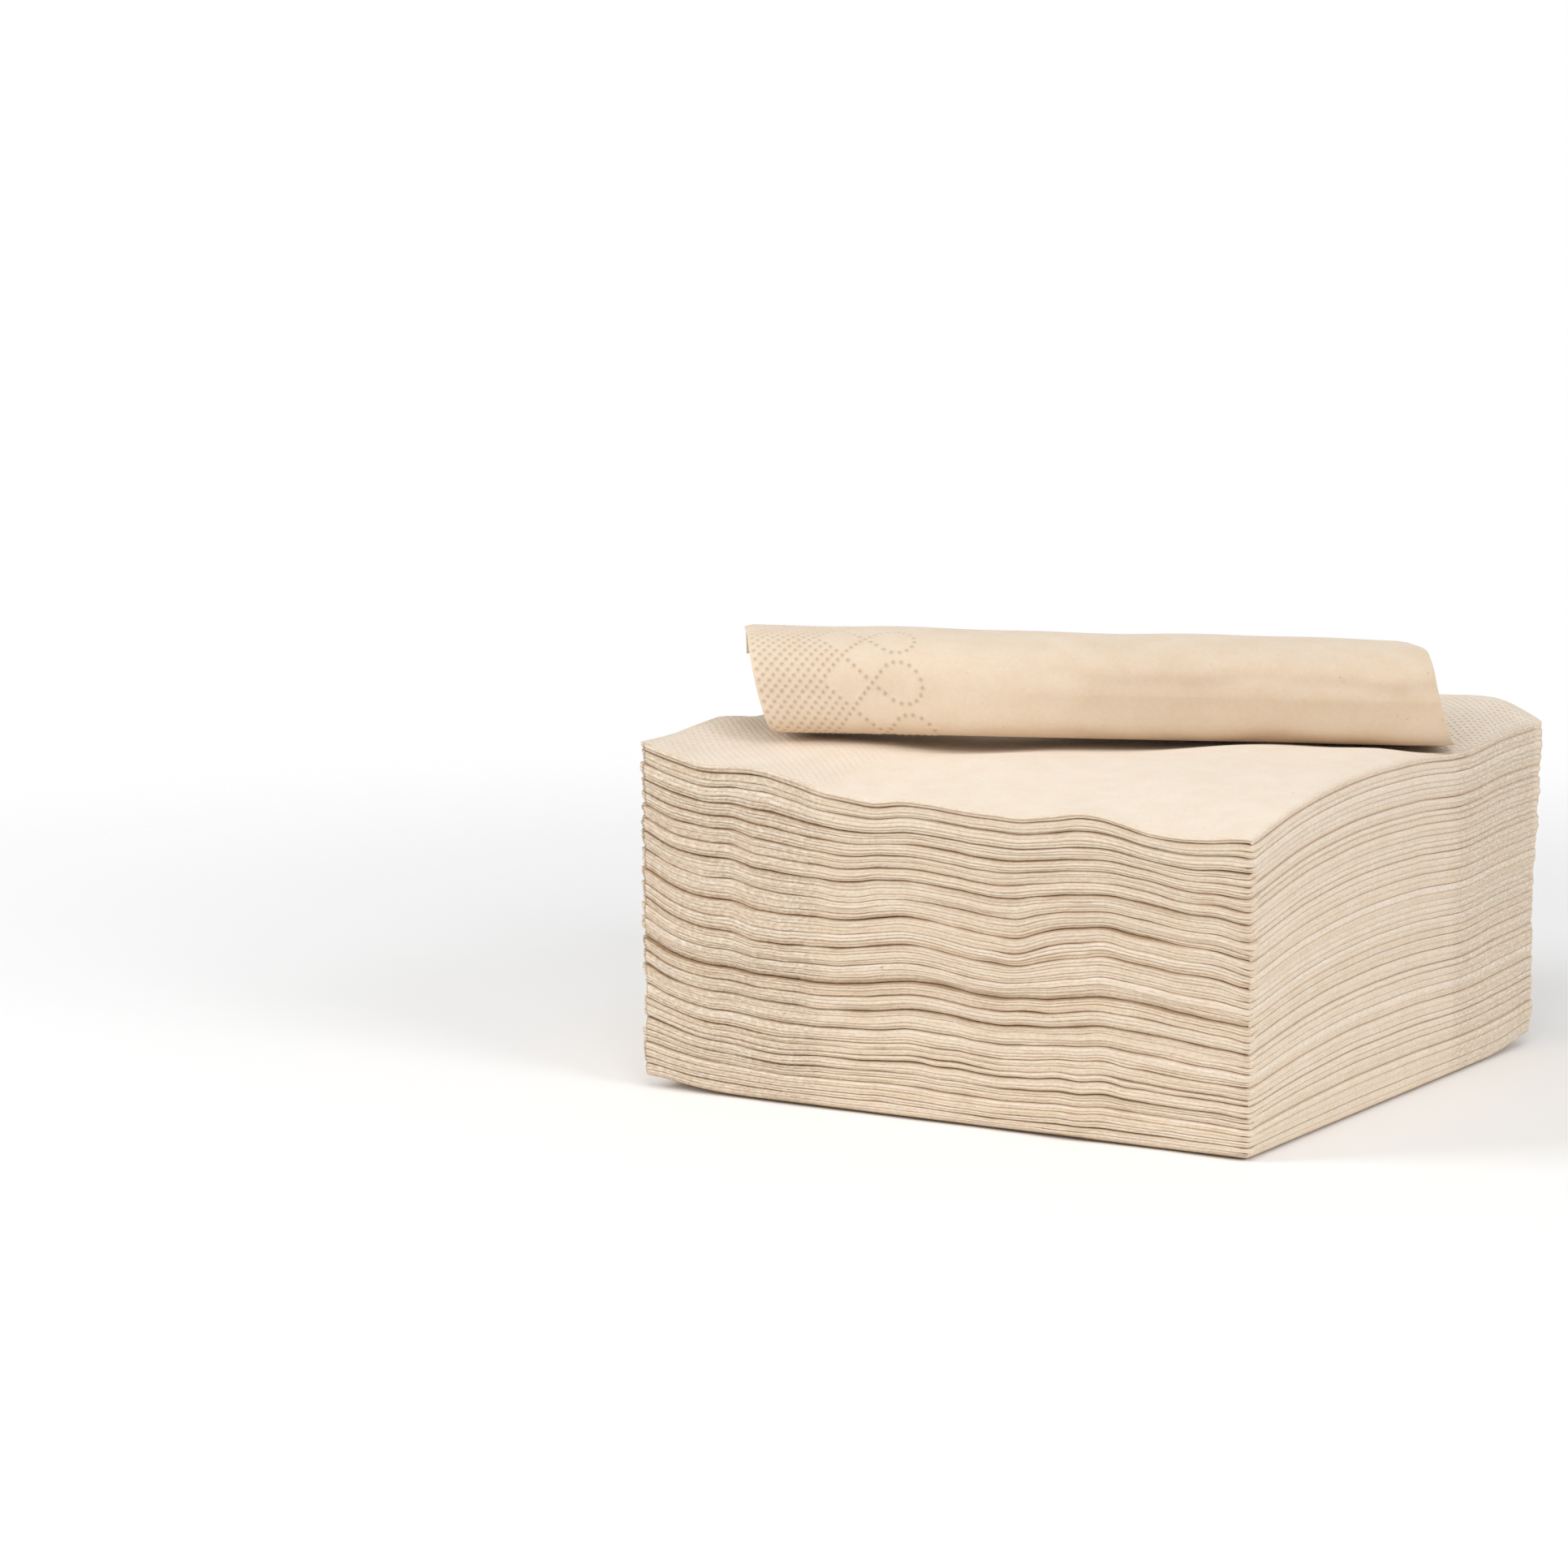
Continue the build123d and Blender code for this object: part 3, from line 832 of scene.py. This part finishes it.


# %% [markdown]
# ## The paper itself
#
# Tissue is loose fibre, so it has next to no shine, a soft edge to its shadows and a fine felt on
# its surface. Plain white diffuse would look like card. A little light is let into the paper, a fine
# bump makes the felt, and painted shade turns the colour from cream to brown with the depth in a gap.

# %% Material
def tissue(name):
    """Unbleached tissue: reads as warm, dry and soft, with painted shade in the gaps, with no shine."""
    material = bpy.data.materials.new(name)
    material.use_nodes = True
    tree = material.node_tree
    shader = tree.nodes["Principled BSDF"]
    place = add(tree, "ShaderNodeTexCoord").outputs["Object"]
    mottle, fibre, speck = [
        add(tree, "ShaderNodeTexNoise", Vector=place, Scale=1 / (size * MM), Detail=detail).outputs["Fac"]
        for size, detail in ((MOTTLE_SIZE, 4.0), (FIBRE_SIZE, 5.0), (SPECK_SIZE, 2.0))]
    few = add(tree, "ShaderNodeMapRange", Value=speck, From_Min=0.72, From_Max=0.80, To_Max=0.45).outputs[0]
    pressed = pressed_pattern(tree, place)
    cloud = sums(tree, "MULTIPLY_ADD", mottle, 0.7, sums(tree, "MULTIPLY_ADD", fibre, 0.5, -0.6))
    light = add(tree, "ShaderNodeClamp", Value=sums(tree, "ADD", cloud, stored(tree, "tone"))).outputs[0]
    paper = mix(tree, few, mix(tree, light, linear(PAPER_DARK), linear(PAPER_LIGHT)), linear(FIBRE_SPECK))
    # Painted shade: brown for the depth in a gap, under the roll, and a little in the pits and beads.
    shade_amount = sums(tree, "MULTIPLY_ADD", pressed, 0.2, sums(tree, "MULTIPLY", stored(tree, "painted_shade"), 0.9))
    height = sums(tree, "MULTIPLY_ADD", fibre, 0.35, sums(tree, "MULTIPLY", pressed, -1.0))
    felt = add(tree, "ShaderNodeBump", Height=height, Strength=0.8, Distance=FELT_DEPTH * MM)
    tree.links.new(mix(tree, shade_amount, paper, linear(PAPER_SHADE)), shader.inputs["Base Color"])
    tree.links.new(felt.outputs["Normal"], shader.inputs["Normal"])
    shader.inputs["Roughness"].default_value = 0.92
    shader.inputs["Specular IOR Level"].default_value = 0.25
    shader.inputs["Sheen Weight"].default_value = 0.12
    shader.inputs["Subsurface Weight"].default_value = 0.15
    shader.inputs["Subsurface Radius"].default_value = (1.0, 0.6, 0.35)
    shader.inputs["Subsurface Scale"].default_value = LIGHT_DEPTH * MM
    return material


TISSUE = tissue("unbleached_tissue_paper")
for piece, node in zip(napkins + [roll], NAPKIN_NODES + ["rolled_napkin"]):
    piece.data.materials.append(TISSUE)
    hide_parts(node)
    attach(piece, "root")

# %% [markdown]
# ## The floor
#
# The stack stands on a plain pale table that runs out into white. A large curved backdrop would do
# that in a studio. Here a flat floor takes the shadow and fades out into a white room.

# %% Floor
FLOOR_COLOUR = "FFFFFF"
FLOOR_SIZE = 1.6                 # metres
FLOOR_SOLID = 0.18               # the floor is solid out to here, in metres
FLOOR_END = 0.62                 # and has faded out here
FLOOR_DROP = 0.2                 # air between the floor and the stack, in mm


def floor():
    """Flat matte floor that takes the stack's shadow and fades out with the distance from it."""
    half, low = FLOOR_SIZE / 2, -FLOOR_DROP * MM
    mesh = bpy.data.meshes.new("floor")
    corners = [(-half, -half, low), (half, -half, low), (half, half, low), (-half, half, low)]
    mesh.from_pydata(corners, [], [(0, 1, 2, 3)])
    piece = bpy.data.objects.new("floor", mesh)
    bpy.context.collection.objects.link(piece)
    material = bpy.data.materials.new("matte_white_floor")
    material.use_nodes = True
    tree = material.node_tree
    shader = tree.nodes["Principled BSDF"]
    place = add(tree, "ShaderNodeTexCoord").outputs["Object"]
    away = add(tree, "ShaderNodeVectorMath", {"operation": "LENGTH"}, i0=place).outputs["Value"]
    fade = add(tree, "ShaderNodeMapRange", {"interpolation_type": "SMOOTHSTEP"}, Value=away,
               From_Min=FLOOR_SOLID, From_Max=FLOOR_END, To_Min=1.0, To_Max=0.0)
    tree.links.new(fade.outputs[0], shader.inputs["Alpha"])
    shader.inputs["Base Color"].default_value = linear(FLOOR_COLOUR)
    shader.inputs["Roughness"].default_value = 0.95
    mesh.materials.append(material)
    return piece


floor()

# %% [markdown]
# ## Light
#
# In the picture the light is soft and comes from all round, a little more from the right and from
# above, so the rounded folds show but nothing is in deep shade. One lamp would be too hard. Four large
# ones and a pale room give that light, and the room is white only where it is seen directly.

# %% Lamps and room
LAMP_SIZE = 0.6                  # metres
LAMPS = {"front_lamp": ((0.55, -0.95, 1.05), 3.6), "right_lamp": ((1.2, -0.35, 0.7), 6.0),
         "left_lamp": ((-0.9, -0.8, 0.6), 7.7), "top_lamp": ((0.15, -0.35, 1.45), 1.5)}
LAMP_AIM = Vector((0, 0, 0.06))
ROOM_LIGHT = 0.45


def area_lamp(name, place, power):
    """Square lamp at a place in metres, turned towards the stack, with its power in watts."""
    data = bpy.data.lights.new(name, "AREA")
    data.size = LAMP_SIZE
    data.energy = power
    lamp = bpy.data.objects.new(name, data)
    lamp.location = place
    lamp.rotation_euler = (LAMP_AIM - Vector(place)).to_track_quat("-Z", "Y").to_euler()
    bpy.context.collection.objects.link(lamp)


def pale_room():
    """World that lights the stack softly, and is plain white to the camera and in reflections."""
    world = bpy.data.worlds.new("pale_room")
    world.use_nodes = True
    tree = world.node_tree
    rays = add(tree, "ShaderNodeLightPath").outputs
    seen = sums(tree, "MAXIMUM", rays["Is Camera Ray"], rays["Is Glossy Ray"])
    seen = sums(tree, "MAXIMUM", seen, rays["Is Transmission Ray"])
    glow = add(tree, "ShaderNodeMapRange", Value=seen, To_Min=ROOM_LIGHT, To_Max=1.0).outputs[0]
    tree.nodes["Background"].inputs["Color"].default_value = (1, 1, 1, 1)
    tree.links.new(glow, tree.nodes["Background"].inputs["Strength"])
    return world


for name, (place, power) in LAMPS.items():
    area_lamp(name, place, power)
bpy.context.scene.world = pale_room()
bpy.context.scene.view_settings.view_transform = "Standard"
print(f"{len(LAMPS)} lamps and a pale room")

# %% [markdown]
# ## The camera
#
# The picture was taken with a long lens from a little above the stack, looking at its near corner, so
# lines that are level hardly run together. A camera could be placed by eye, but the edges of the
# stack in the picture give its place exactly: a turn, a rise, a distance and a focal length.

# %% Camera
IMAGE_SIZE = 1932                # the picture's width and height, in pixels
FOCAL_PIXELS = 6200              # its focal length, in pixels
CAMERA_AZIMUTH = 31.2            # degrees round from the front
CAMERA_ELEVATION = 8.21          # degrees
CAMERA_DISTANCE = 1262.9         # mm
CAMERA_AIM = (-72.3, -32.1, 69.6)    # the point in the middle of the picture, in mm


def photo_camera():
    """Camera on a line from the aim point, turned by azimuth and raised by elevation."""
    turn, rise = math.radians(CAMERA_AZIMUTH), math.radians(CAMERA_ELEVATION)
    back = Vector((math.sin(turn) * math.cos(rise), -math.cos(turn) * math.cos(rise), math.sin(rise)))
    data = bpy.data.cameras.new("camera")
    data.sensor_width = 36.0
    data.lens = data.sensor_width * FOCAL_PIXELS / IMAGE_SIZE
    data.clip_start, data.clip_end = 0.05, 20
    camera = bpy.data.objects.new("camera", data)
    camera.location = (Vector(CAMERA_AIM) + back * CAMERA_DISTANCE) * MM
    camera.rotation_euler = (math.pi / 2 - rise, 0, turn)
    bpy.context.collection.objects.link(camera)
    bpy.context.scene.camera = camera


photo_camera()

# %% [markdown]
# ## The size, and the end
#
# The finished meshes may stand a little outside the measured part, where paper is uneven, but not far.

# %% Finish
bpy.context.view_layer.update()
